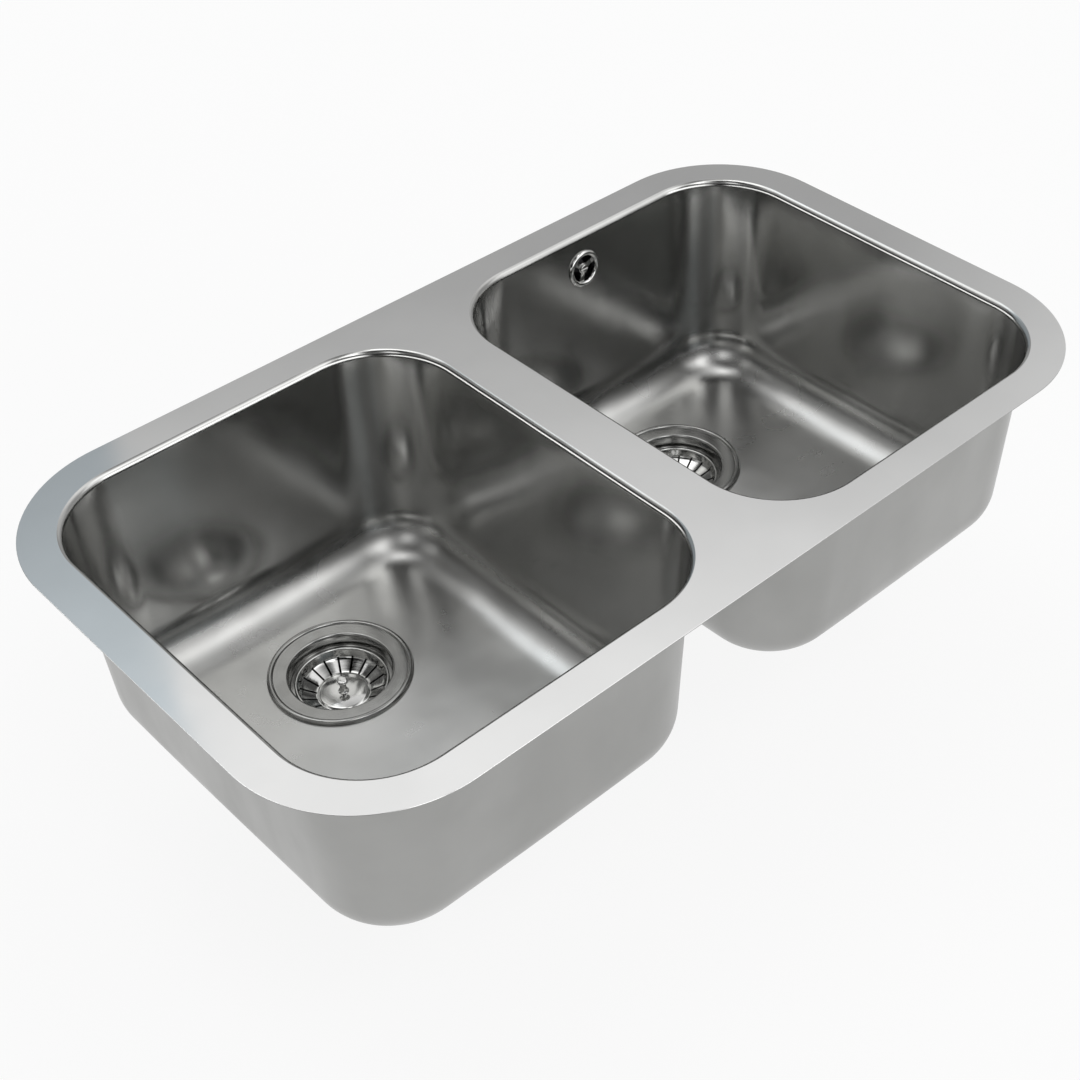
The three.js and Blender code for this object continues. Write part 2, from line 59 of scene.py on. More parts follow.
MM = 0.001
SHEET = 1.0
RIM_LENGTH = 785.0
RIM_WIDTH = 452.0
RIM_CORNER = 108.0
SIDE_RIM = 30.0
FRONT_RIM = 28.5
DIVIDER = 43.0
OPENING_CORNER = 75.0
LIP_RADIUS = 4.0
LIP_START = 20.0
RIM_EDGE = 0.25
FACES_UP = 0.4
WALL_TAPER = 0.055
FLOOR_FILLET = 42.0
BOWL_DEPTH = 196.0
FLOOR_FALL = 0.045
FLOOR_EASE = 24.0
DRAIN_HOLE = 45.0
DRAIN_FROM_BACK = 119.5
DRAIN_INWARD = 1.7
THROAT_RADIUS = 41.8
FLANGE_RADIUS = 59.0
DRAIN_SEAT = 62.0
SEAT_RINGS = (58.0, 52.0)
FIT = 0.3

OPENING_LENGTH = (RIM_LENGTH - 2 * SIDE_RIM - DIVIDER) / 2
OPENING_WIDTH = RIM_WIDTH - 2 * FRONT_RIM
BOWL_ACROSS = (OPENING_LENGTH + DIVIDER) / 2
WALL_TILT = math.atan(WALL_TAPER)
LIP_END_BACK = OPENING_WIDTH / 2 - LIP_RADIUS * math.cos(WALL_TILT)
DRAIN_ACROSS = BOWL_ACROSS - DRAIN_INWARD
DRAIN_BACK = OPENING_WIDTH / 2 - DRAIN_FROM_BACK

# Strainer, as heights above the floor at the drain.
FLANGE_TOP = 2.0
BEAD_RADIUS = 2.6
BEAD_RISE = 1.6
THROAT_EDGE = 2.4
THROAT_DEPTH = 11.0
CUP_RADIUS = 37.0
CUP_SEAT_RADIUS = 29.5
CUP_DEPTH = 40.0
CUP_SEAT_HEIGHT = 8.0
CUP_CONE_HEIGHT = 9.0
CUP_FOOT = 3.0
CUP_HOLE_RADIUS = 5.6
CUP_HOLE_CIRCLE = 16.5
CUP_HOLE_COUNT = 6
BASKET_RADIUS = 38.5
BASKET_RIM_TOP = -8.8
BASKET_ROLL = 1.3
BASKET_WALL = 0.8
BASKET_DEPTH = 12.4
BASKET_DISC = 20.5
DISC_RISE = 1.4
SLOT_COUNT = 18
SLOT_WIDTH = 1.8
KNOB_HEIGHT = 13.5
KNOB_RADIUS = 5.0
STEM_RADIUS = 2.6
DISC_TOP = BASKET_RIM_TOP - BASKET_DEPTH
STOPPER_TOP = DISC_TOP - BASKET_WALL - FIT
STOPPER_FOOT = -CUP_DEPTH + 4.4
STOPPER_THICKNESS = 2.0
NUT_TOP = STOPPER_TOP - STOPPER_THICKNESS - FIT
NUT_HEIGHT = 4.0

# Waste body.
BODY_TOP = -4.0
BODY_BOTTOM = -60.0
BODY_WALL = 2.5
BELL_RADIUS = THROAT_RADIUS + SHEET + 1.2 + BODY_WALL
COLLAR_RADIUS = 55.0
COLLAR_THICKNESS = 4.0
OUTLET_RADIUS = 23.9
OUTLET_BORE = 19.5
OUTLET_LENGTH = 36.0
THREAD_DROP = 8
THREAD_TURNS = 9
THREAD_PITCH = 2.6
THREAD_DEPTH = 0.9
SCREW_RADIUS = 3.0
SCREW_HEAD = (6.0, 3.0)
DRIVER_SLOT = 1.2
INSERT_RADIUS = 6.0
INSERT_TOP = -CUP_DEPTH - SHEET - FIT
INSERT_LENGTH = 12.0
BOSS_WALL = 3.0
RIB_THICKNESS = 3.0

# Overflow.
OVERFLOW_ACROSS = BOWL_ACROSS - 6.0
OVERFLOW_DROP = 34.0
OVERFLOW_BACK = LIP_END_BACK - WALL_TAPER * (
    OVERFLOW_DROP - LIP_RADIUS * (1 - math.sin(WALL_TILT)))
GRILLE_BORE = 12.4
GRILLE_RIM = 5.1
GRILLE_RISE = 2.5
GRILLE_COLLAR = 3.0
GRILLE_COLLAR_WALL = 1.6
SPOKE_COUNT = 3
SPOKE_TURN = math.radians(20)
SPOKE_WIDTH = 4.4
SPOKE_THICKNESS = 1.6
HUB_RADIUS = 5.0
OVERFLOW_SCREW_RADIUS = 2.5
OVERFLOW_SCREW_HEAD = (4.0, 1.6)
PIPE_RADIUS = 10.0
PIPE_WALL = 2.0
PIPE_DROP = 20.0
PIPE_BEND = 82.0
PIPE_STEPS = 40
PIPE_SIDES = 48
NUT_LENGTH = 22.0
NUT_WALL = 3.6
NUT_GRIP = 0.8
NUT_GRIP_COUNT = 24
NUT_EDGE = 0.7
SPIGOT_LENGTH = 26.0
HOUSING_RADIUS = 22.0
HOUSING_WALL = 2.5
HOUSING_BOSS = 6.0
HOUSING_FACE = -SHEET - FIT - 2.0
SPIGOT_AXIS = -SHEET - 1.2 - PIPE_RADIUS - NUT_WALL
HOUSING_BACK = SPIGOT_AXIS - PIPE_RADIUS - 1.0
SPIGOT_END = -HOUSING_RADIUS - SPIGOT_LENGTH
INLET_END = COLLAR_RADIUS + SPIGOT_LENGTH

# Steps of the curves.
CORNER_STEPS = 28
STRAIGHT_STEP = 8.0
LIP_STEPS = 13
WALL_STEPS = 13
FILLET_STEPS = 21
FLOOR_STEPS = 17
ROUND = 120

# ------------------------------------------------------------------ mesh helpers


def arc(centre_r, centre_z, radius, start, end, steps):
    """Points of an arc between two angles in degrees."""
    angles = np.radians(np.linspace(start, end, steps + 1))
    return [(centre_r + radius * math.cos(a), centre_z + radius * math.sin(a)) for a in angles]


def walled(path, thickness):
    """The closed outline of a wall: one face's path, and the other face to the left of it."""
    points = np.array(path, float)
    runs = np.diff(points, axis=0)
    normals = np.stack([-runs[:, 1], runs[:, 0]], 1) / np.linalg.norm(runs, axis=1)[:, None]
    before = np.vstack([normals[:1], normals])
    after = np.vstack([normals, normals[-1:]])
    share = thickness / (1 + (before * after).sum(1))
    other = points + share[:, None] * (before + after)
    return np.vstack([points, other[::-1]])


def mesh_object(name, vertices, faces):
    """An object from vertices in millimetres, with its faces turned outwards."""
    mesh = bpy.data.meshes.new(name)
    mesh.from_pydata([tuple(float(c) * MM for c in v) for v in vertices], [], faces)
    made = bmesh.new()
    made.from_mesh(mesh)
    bmesh.ops.remove_doubles(made, verts=made.verts, dist=1e-7)
    bmesh.ops.recalc_face_normals(made, faces=made.faces)
    made.to_mesh(mesh)
    made.free()
    piece = bpy.data.objects.new(name, mesh)
    bpy.context.scene.collection.objects.link(piece)
    return piece


def lathe(name, outline, segments=ROUND):
    """Turns a closed outline of (radius, height) points about Z."""
    outline = [(max(r, 0.0), z) for r, z in outline]
    angles = np.arange(segments) * 2 * math.pi / segments
    vertices, rows = [], []
    for r, z in outline:
        if r < 1e-6:
            rows.append([len(vertices)] * segments)
            vertices.append((0.0, 0.0, z))
        else:
            rows.append(list(range(len(vertices), len(vertices) + segments)))
            vertices.extend((r * math.cos(a), r * math.sin(a), z) for a in angles)
    faces = []
    for i, row in enumerate(rows):
        other = rows[(i + 1) % len(rows)]
        if row[0] == row[1] and other[0] == other[1]:
            continue
        for k in range(segments):
            n = (k + 1) % segments
            corners = [row[k], row[n], other[n], other[k]]
            faces.append(list(dict.fromkeys(corners)))
    return mesh_object(name, vertices, faces)


def tube(name, inner, outer, low, high, segments=ROUND, edge=0.0):
    """A ring, or a disc where inner is 0, with its edges broken."""
    if inner > 0:
        outline = [(inner + edge, low), (outer - edge, low), (outer, low + edge),
                   (outer, high - edge), (outer - edge, high), (inner + edge, high),
                   (inner, high - edge), (inner, low + edge)]
    else:
        outline = [(0, low), (outer - edge, low), (outer, low + edge),
                   (outer, high - edge), (outer - edge, high), (0, high)]
    return lathe(name, outline, segments)


def block(name, size, centre):
    """A box of the given size about a centre."""
    corners = [(x, y, z) for x in (-1, 1) for y in (-1, 1) for z in (-1, 1)]
    vertices = [[centre[i] + corner[i] * size[i] / 2 for i in range(3)] for corner in corners]
    faces = [(0, 1, 3, 2), (4, 6, 7, 5), (0, 4, 5, 1), (2, 3, 7, 6), (0, 2, 6, 4), (1, 5, 7, 3)]
    return mesh_object(name, vertices, faces)


def apply_modifiers(piece):
    """Turns a piece's modifiers into mesh."""
    depsgraph = bpy.context.evaluated_depsgraph_get()
    mesh = bpy.data.meshes.new_from_object(piece.evaluated_get(depsgraph))
    old = piece.data
    piece.modifiers.clear()
    piece.data = mesh
    mesh.name = piece.name
    bpy.data.meshes.remove(old)
    return piece


def boolean(piece, tool, operation):
    """Joins or cuts with a tool, which is used up."""
    modifier = piece.modifiers.new("boolean", "BOOLEAN")
    modifier.operation = operation
    modifier.solver = "EXACT"
    modifier.object = tool
    apply_modifiers(piece)
    bpy.data.objects.remove(tool)
    return piece


def joined(name, pieces):
    """Separate pieces as one object, for a cut with many tools at once."""
    made = bmesh.new()
    for piece in pieces:
        made.from_mesh(piece.data)
        bpy.data.objects.remove(piece)
    mesh = bpy.data.meshes.new(name)
    made.to_mesh(mesh)
    made.free()
    both = bpy.data.objects.new(name, mesh)
    bpy.context.scene.collection.objects.link(both)
    return both


def bevelled(piece, width):
    """Rounds the sharp edges by a width in millimetres."""
    modifier = piece.modifiers.new("bevel", "BEVEL")
    modifier.width = width * MM
    modifier.segments = 2
    modifier.limit_method = "ANGLE"
    modifier.angle_limit = math.radians(30)
    modifier.use_clamp_overlap = True
    return apply_modifiers(piece)


def moved(piece, offset, turn=(0.0, 0.0, 0.0)):
    """Turns a mesh about the origin and then moves it, in millimetres."""
    matrix = Euler(turn).to_matrix().to_4x4()
    matrix.translation = Vector(offset) * MM
    piece.data.transform(matrix)
    return piece


def settle(piece, body, material, node, sharp=32.0):
    """Gives a finished piece its shading, material and body, and hides the CAD node that it
    stands for.
    """
    piece.data.materials.clear()
    piece.data.materials.append(material)
    piece.data.shade_smooth()
    piece.data.set_sharp_from_angle(angle=math.radians(sharp))
    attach(piece, body)
    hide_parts(node)
    return piece


# ------------------------------------------------------------------ materials


# The part of the noise's range that is used, and the rings of spun steel: per metre of
# radius, and deep in millimetres.
NOISE_LOW = 0.25
NOISE_HIGH = 0.75
SPUN_RINGS = 420.0
SPUN_DEPTH = 0.03


def new_material(name, color, metallic, roughness):
    """A material and its shader, for nodes to be added."""
    material = bpy.data.materials.new(name)
    material.use_nodes = True
    shader = material.node_tree.nodes["Principled BSDF"]
    shader.inputs["Base Color"].default_value = (*color, 1.0)
    shader.inputs["Metallic"].default_value = metallic
    shader.inputs["Roughness"].default_value = roughness
    return material, shader


def arithmetic(tree, operation, *values):
    """A Math node's output, from numbers and other outputs."""
    node = tree.nodes.new("ShaderNodeMath")
    node.operation = operation
    for socket, value in zip(node.inputs, values):
        if isinstance(value, (int, float)):
            socket.default_value = value
        else:
            tree.links.new(value, socket)
    return node.outputs[0]


def noise(material, scale, stretch=(1.0, 1.0, 1.0), detail=3.0):
    """Noise on object coordinates; stretch is how much finer it is along each axis."""
    tree = material.node_tree
    place = tree.nodes.new("ShaderNodeTexCoord")
    mapping = tree.nodes.new("ShaderNodeMapping")
    mapping.inputs["Scale"].default_value = stretch
    texture = tree.nodes.new("ShaderNodeTexNoise")
    texture.inputs["Scale"].default_value = scale
    texture.inputs["Detail"].default_value = detail
    tree.links.new(place.outputs["Object"], mapping.inputs["Vector"])
    tree.links.new(mapping.outputs["Vector"], texture.inputs["Vector"])
    return texture.outputs["Fac"]


def mapped(material, value, low, high):
    """Stretches noise to a range, easing into both ends."""
    node = material.node_tree.nodes.new("ShaderNodeMapRange")
    node.interpolation_type = "SMOOTHERSTEP"
    node.inputs["From Min"].default_value = NOISE_LOW
    node.inputs["From Max"].default_value = NOISE_HIGH
    node.inputs["To Min"].default_value = low
    node.inputs["To Max"].default_value = high
    material.node_tree.links.new(value, node.inputs["Value"])
    return node.outputs["Result"]


def by_height(material, bottom, top, low, high):
    """A value that eases from low to high between two heights in millimetres."""
    tree = material.node_tree
    place = tree.nodes.new("ShaderNodeTexCoord")
    axes = tree.nodes.new("ShaderNodeSeparateXYZ")
    node = tree.nodes.new("ShaderNodeMapRange")
    node.interpolation_type = "SMOOTHERSTEP"
    node.inputs["From Min"].default_value = bottom * MM
    node.inputs["From Max"].default_value = top * MM
    node.inputs["To Min"].default_value = low
    node.inputs["To Max"].default_value = high
    tree.links.new(place.outputs["Object"], axes.inputs["Vector"])
    tree.links.new(axes.outputs["Z"], node.inputs["Value"])
    return node.outputs["Result"]


def tinted(material, value, low, high):
    """A colour that runs from low to high with the value."""
    node = material.node_tree.nodes.new("ShaderNodeMix")
    node.data_type = "RGBA"
    node.inputs["A"].default_value = (*low, 1.0)
    node.inputs["B"].default_value = (*high, 1.0)
    material.node_tree.links.new(value, node.inputs["Factor"])
    return node.outputs["Result"]


def bump(material, shader, value, depth, under=None):
    """Bump of a depth in millimetres, on top of another bump if there is one."""
    node = material.node_tree.nodes.new("ShaderNodeBump")
    node.inputs["Strength"].default_value = 1.0
    node.inputs["Distance"].default_value = depth * MM
    material.node_tree.links.new(value, node.inputs["Height"])
    if under is not None:
        material.node_tree.links.new(under, node.inputs["Normal"])
    material.node_tree.links.new(node.outputs["Normal"], shader.inputs["Normal"])
    return node.outputs["Normal"]


def steel(name, low, high, rough, grain_stretch, grain_depth=0.004, wave_depth=0.0,
          wave_scale=14.0, wave_stretch=(1.0, 1.0, 1.0), floor_dulling=0.0):
    """Sheet steel: cloudy colour, uneven polish, fine grain and, if asked for, press waves
    and a duller floor."""
    material, shader = new_material(name, low, 1.0, rough[0])
    links = material.node_tree.links
    cloud = noise(material, 9.0, detail=4.0)
    links.new(tinted(material, mapped(material, cloud, 0.0, 1.0), low, high),
              shader.inputs["Base Color"])
    grain = noise(material, 900.0, grain_stretch, detail=2.0)
    polish = noise(material, 25.0, (1.0, 1.0, 0.35), detail=4.0)
    dullness = mapped(material, polish, *rough)
    if floor_dulling > 0:
        added = by_height(material, -BOWL_DEPTH + FLOOR_FILLET / 4,
                          -BOWL_DEPTH + FLOOR_FILLET, floor_dulling, 0.0)
        dullness = arithmetic(material.node_tree, "ADD", dullness, added)
    links.new(dullness, shader.inputs["Roughness"])
    under = None
    if wave_depth > 0:
        wave = noise(material, wave_scale, wave_stretch, detail=1.5)
        under = bump(material, shader, wave, wave_depth)
    bump(material, shader, grain, grain_depth, under)
    return material


def spun_steel(name, low, high, rough):
    """Steel finished on a lathe: fine rings about the piece's own upright axis."""
    material, shader = new_material(name, low, 1.0, rough[0])
    tree = material.node_tree
    place = tree.nodes.new("ShaderNodeTexCoord")
    flat = tree.nodes.new("ShaderNodeVectorMath")
    flat.operation = "MULTIPLY"
    flat.inputs[1].default_value = (1.0, 1.0, 0.0)
    radius = tree.nodes.new("ShaderNodeVectorMath")
    radius.operation = "LENGTH"
    rings = tree.nodes.new("ShaderNodeTexNoise")
    rings.noise_dimensions = "1D"
    rings.inputs["Scale"].default_value = SPUN_RINGS
    rings.inputs["Detail"].default_value = 4.0
    tree.links.new(place.outputs["Object"], flat.inputs[0])
    tree.links.new(flat.outputs["Vector"], radius.inputs[0])
    tree.links.new(radius.outputs["Value"], rings.inputs["W"])
    cloud = noise(material, 60.0, detail=3.0)
    tree.links.new(tinted(material, mapped(material, cloud, 0.0, 1.0), low, high),
                   shader.inputs["Base Color"])
    tree.links.new(mapped(material, rings.outputs["Fac"], *rough), shader.inputs["Roughness"])
    bump(material, shader, rings.outputs["Fac"], SPUN_DEPTH)
    return material


def moulded(name, low, high, rough, scale=700.0, depth=0.05):
    """Moulded plastic or rubber: a fine leathery skin with faint flow marks."""
    material, shader = new_material(name, low, 0.0, rough[0])
    links = material.node_tree.links
    cloud = noise(material, 35.0, (1.0, 1.0, 0.3), detail=4.0)
    links.new(tinted(material, mapped(material, cloud, 0.0, 1.0), low, high),
              shader.inputs["Base Color"])
    skin = noise(material, scale, detail=3.0)
    links.new(mapped(material, skin, *rough), shader.inputs["Roughness"])
    bump(material, shader, skin, depth)
    return material


rim_steel = steel("rim_steel", (0.72, 0.72, 0.715), (0.76, 0.76, 0.755), (0.05, 0.08),
                  (1.0, 0.02, 1.0), grain_depth=0.001, wave_depth=0.15, wave_scale=9.0)
bowl_steel = steel("bowl_steel", (0.47, 0.47, 0.46), (0.52, 0.52, 0.51), (0.15, 0.20),
                   (1.0, 1.0, 0.03), grain_depth=0.001, wave_depth=1.5, wave_scale=14.0,
                   wave_stretch=(1.0, 1.0, 0.5), floor_dulling=0.12)
# The outside's steel: a rougher raw finish, with its colour set darker as painted shade that
# stands in for the dimmer floor it reflects.
outer_shaded_steel = steel("outer_shaded_steel", (0.34, 0.34, 0.332), (0.38, 0.38, 0.372), (0.28, 0.36),
                    (1.0, 1.0, 0.03), grain_depth=0.003, wave_depth=0.5)
flange_steel = spun_steel("flange_steel", (0.30, 0.30, 0.292), (0.34, 0.34, 0.332),
                          (0.16, 0.24))
basket_steel = spun_steel("basket_steel", (0.54, 0.54, 0.53), (0.60, 0.60, 0.59), (0.08, 0.13))
bright_steel = steel("bright_steel", (0.60, 0.60, 0.59), (0.68, 0.68, 0.67), (0.10, 0.18),
                     (1.0, 1.0, 1.0), grain_depth=0.001)
black_rubber = moulded("black_rubber", (0.020, 0.020, 0.020), (0.035, 0.035, 0.034), (0.6, 0.8))
black_plastic = moulded("black_plastic", (0.030, 0.030, 0.032), (0.05, 0.05, 0.052),
                        (0.4, 0.55), scale=900.0, depth=0.03)
turned_brass = spun_steel("turned_brass", (0.66, 0.48, 0.20), (0.74, 0.56, 0.26), (0.2, 0.3))

# ------------------------------------------------------------------ sheet metal


def rounded_outline(length, width, corner, centre_x=0.0):
    """Points round a rounded rectangle with their inward normals: arrays of (x, y) pairs."""
    points, normals = [], []
    ends = [(1, 1), (-1, 1), (-1, -1), (1, -1)]
    for quarter, (side_x, side_y) in enumerate(ends):
        corner_x = centre_x + side_x * (length / 2 - corner)
        corner_y = side_y * (width / 2 - corner)
        for i in range(CORNER_STEPS + 1):
            angle = (quarter + i / CORNER_STEPS) * math.pi / 2
            outward = (math.cos(angle), math.sin(angle))
            points.append((corner_x + corner * outward[0], corner_y + corner * outward[1]))
            normals.append((-outward[0], -outward[1]))
        next_x, next_y = ends[(quarter + 1) % 4]
        to = (centre_x + next_x * (length / 2 - corner) + corner * outward[0],
              next_y * (width / 2 - corner) + corner * outward[1])
        start = points[-1]
        steps = math.ceil(math.dist(start, to) / STRAIGHT_STEP)
        for i in range(1, steps):
            share = i / steps
            points.append(tuple(start[k] + (to[k] - start[k]) * share for k in (0, 1)))
            normals.append(normals[-1])
    return np.array(points), np.array(normals)


def floor_rise(distance):
    """How far the floor lies above the drain's seat at a distance from the drain."""
    out = np.maximum(distance - DRAIN_SEAT, 0.0)
    eased = out * out / (2 * FLOOR_EASE)
    return FLOOR_FALL * np.where(out < FLOOR_EASE, eased, out - FLOOR_EASE / 2)


def bowl_rows(points, normals, drain, skin):
    """Rows of a bowl's skin, from the rim's edge to the drain hole."""
    fillet = FLOOR_FILLET + skin
    lip_end_inset = LIP_RADIUS * math.cos(WALL_TILT)
    lip_end_z = -LIP_RADIUS + LIP_RADIUS * math.sin(WALL_TILT)
    last = math.pi / 2 - math.atan(FLOOR_FALL)
    centre_z = np.full(len(points), -BOWL_DEPTH + FLOOR_FILLET)
    for _ in range(8):
        start_z = centre_z - FLOOR_FILLET * math.sin(WALL_TILT)
        start_inset = lip_end_inset + WALL_TAPER * (lip_end_z - start_z)
        centre_inset = start_inset + FLOOR_FILLET * math.cos(WALL_TILT)
        edge = points + normals * (centre_inset - FLOOR_FILLET * math.cos(last))[:, None]
        to_edge = np.linalg.norm(edge - drain, axis=1)
        centre_z = -BOWL_DEPTH + floor_rise(to_edge) + FLOOR_FILLET * math.sin(last)
    rows = []

    def row(inset, z):
        rows.append(np.column_stack([points + normals * np.reshape(inset, (-1, 1)),
                                     np.broadcast_to(z, len(points))]))

    # The visible lip starts at a crease and bends further than the plain one of the CAD.
    first = math.radians(LIP_START)
    end = math.pi / 2 - WALL_TILT
    drop = math.cos(first) - math.cos(end)
    wall_zero = lip_end_inset + WALL_TAPER * lip_end_z
    bend = wall_zero / (math.sin(end) - math.sin(first) - WALL_TAPER * drop)
    for angle in np.linspace(first, end, LIP_STEPS + 1):
        row(np.full(len(points), (bend - skin) * math.sin(angle) - bend * math.sin(first)),
            (bend - skin) * math.cos(angle) - bend * math.cos(first))
    wall_start = ((bend - skin) * math.sin(end) - bend * math.sin(first),
                  (bend - skin) * math.cos(end) - bend * math.cos(first))
    wall_end = (centre_inset - fillet * math.cos(WALL_TILT),
                centre_z - fillet * math.sin(WALL_TILT))
    for share in np.linspace(0, 1, WALL_STEPS + 1)[1:]:
        row(wall_start[0] + (wall_end[0] - wall_start[0]) * share,
            wall_start[1] + (wall_end[1] - wall_start[1]) * share)
    for angle in np.linspace(WALL_TILT, last, FILLET_STEPS + 1)[1:]:
        row(centre_inset - fillet * math.cos(angle), centre_z - fillet * math.sin(angle))
    edge = rows[-1][:, :2]
    run = np.linalg.norm(edge - drain, axis=1)
    away = (edge - drain) / run[:, None]
    for share in np.linspace(0, 1, FLOOR_STEPS + 1)[1:]:
        distance = run + (DRAIN_SEAT - run) * share
        rows.append(np.column_stack([drain + away * distance[:, None],
                                     -BOWL_DEPTH - skin + floor_rise(distance)]))
    for distance in (*SEAT_RINGS, DRAIN_HOLE):
        rows.append(np.column_stack([drain + away * distance,
                                     np.full(len(points), -BOWL_DEPTH - skin)]))
    return rows


def bowl(side, name):
    """A bowl of even thickness: bright inside; outside rougher and darker, its darker colour
    partly painted shade.
    """
    points, normals = rounded_outline(OPENING_LENGTH, OPENING_WIDTH, OPENING_CORNER,
                                      side * BOWL_ACROSS)
    drain = np.array([side * DRAIN_ACROSS, DRAIN_BACK])
    inner = bowl_rows(points, normals, drain, 0.0)
    outer = bowl_rows(points, normals, drain, SHEET)
    rows = inner + outer[::-1]
    count = len(points)
    faces = []
    for i in range(len(rows)):
        other = (i + 1) % len(rows)
        for k in range(count):
            n = (k + 1) % count
            faces.append((i * count + k, i * count + n, other * count + n, other * count + k))
    piece = mesh_object(name, np.vstack(rows), faces)
    if side > 0:
        hole = tube("hole", 0, GRILLE_BORE + GRILLE_COLLAR_WALL + 2 * FIT, -3 * SHEET,
                    2 * SHEET, 96)
        boolean(piece, on_back_wall(hole), "DIFFERENCE")
    settle(piece, "root", bowl_steel, name.replace("_shell", ""), sharp=40)
    piece.data.materials.append(outer_shaded_steel)
    # Faces that look into the bowl take the bowl's steel; the rest take the outer steel,
    # rougher and darkened by painted shade.
    centre = Vector((side * BOWL_ACROSS, 0.0, -BOWL_DEPTH / 3)) * MM
    for face in piece.data.polygons:
        inward = centre - face.center
        inward.z = max(inward.z, 0.0) + 0.1 * MM
        face.material_index = 0 if face.normal.dot(inward) > 0 else 1


def rim():
    """The flat rim: its outer edge is broken, and its openings meet the bowls' first rows."""
    edge = RIM_EDGE
    outer, inward = rounded_outline(RIM_LENGTH, RIM_WIDTH, RIM_CORNER)
    openings = [rounded_outline(OPENING_LENGTH, OPENING_WIDTH, OPENING_CORNER,
                                side * BOWL_ACROSS)[0] for side in (-1, 1)]
    vertices, faces = [], []

    def ring(points, z):
        vertices.extend((x, y, z) for x, y in points)
        return list(range(len(vertices) - len(points), len(vertices)))

    def strip(a, b):
        for k in range(len(a)):
            n = (k + 1) % len(a)
            faces.append((a[k], a[n], b[n], b[k]))

    rims = []
    for angle in np.radians([90, 67.5, 45, 22.5, 0]):
        inset = edge * (1 - math.cos(angle))
        rims.append(ring(outer + inward * inset, -edge + edge * math.sin(angle)))
    rims.append(ring(outer, -SHEET + edge / 2))
    rims.append(ring(outer + inward * edge / 2, -SHEET))
    for a, b in zip(rims, rims[1:]):
        strip(a, b)
    caps = []
    for z, outline in ((0.0, rims[0]), (-SHEET, rims[-1])):
        loops = [outline] + [ring(points, z) for points in openings]
        caps.append(loops)
        flat = [v for loop in loops for v in loop]
        polygons = [[Vector((*vertices[v][:2], 0.0)) for v in loop] for loop in loops]
        for triangle in tessellate_polygon(polygons):
            faces.append(tuple(flat[i] for i in triangle))
    for top, bottom in zip(caps[0][1:], caps[1][1:]):
        strip(top, bottom)
    piece = settle(mesh_object("rim", vertices, faces), "root", rim_steel,
                   "rim_plate", sharp=5)
    piece.data.materials.append(outer_shaded_steel)
    # Faces turned up take the rim's steel; the outer edge and underside take the outer steel,
    # rougher and darkened by painted shade.
    for face in piece.data.polygons:
        face.material_index = 0 if face.normal.z > FACES_UP else 1


def on_back_wall(piece):
    """Moves a piece from the overflow's frame to the right bowl's back wall."""
    return moved(piece, (OVERFLOW_ACROSS, OVERFLOW_BACK, -OVERFLOW_DROP),
                 (math.pi / 2 - WALL_TILT, 0.0, 0.0))


# ------------------------------------------------------------------ strainer wastes


def flange(label):
    """A rolled bead, a flat ring, a throat with a step and a cup with holes in its floor."""
    bead_z = FLANGE_TOP + BEAD_RISE - BEAD_RADIUS
    start = -math.degrees(math.asin((bead_z - FIT) / BEAD_RADIUS))
    end = 180 - math.degrees(math.asin((FLANGE_TOP - bead_z) / BEAD_RADIUS))
    floor = -CUP_DEPTH
    path = [
        *arc(FLANGE_RADIUS - BEAD_RADIUS, bead_z, BEAD_RADIUS, start, end, 20),
        (FLANGE_RADIUS - 2 * BEAD_RADIUS - 0.6, FLANGE_TOP),
        *arc(THROAT_RADIUS + THROAT_EDGE, FLANGE_TOP - THROAT_EDGE, THROAT_EDGE, 90, 180, 12),
        (THROAT_RADIUS, -THROAT_DEPTH + 0.4),
        (THROAT_RADIUS - 0.4, -THROAT_DEPTH),
        (CUP_RADIUS + 0.4, -THROAT_DEPTH),
        (CUP_RADIUS, -THROAT_DEPTH - 0.4),
        (CUP_RADIUS, floor + CUP_SEAT_HEIGHT + CUP_CONE_HEIGHT),
        (CUP_SEAT_RADIUS, floor + CUP_SEAT_HEIGHT),
        *arc(CUP_SEAT_RADIUS - CUP_FOOT, floor + CUP_FOOT, CUP_FOOT, 0, -90, 6),
        (SCREW_RADIUS + FIT, floor),
    ]
    piece = lathe(label + "_flange", walled(path, SHEET), 144)
    drills = []
    for i in range(CUP_HOLE_COUNT):
        drill = tube("drill", 0, CUP_HOLE_RADIUS, floor - 3, floor + 2, 40)
        angle = i * 2 * math.pi / CUP_HOLE_COUNT
        offset = (CUP_HOLE_CIRCLE * math.cos(angle), CUP_HOLE_CIRCLE * math.sin(angle), 0)
        drills.append(moved(drill, offset))
    return boolean(piece, joined("drills", drills), "DIFFERENCE")


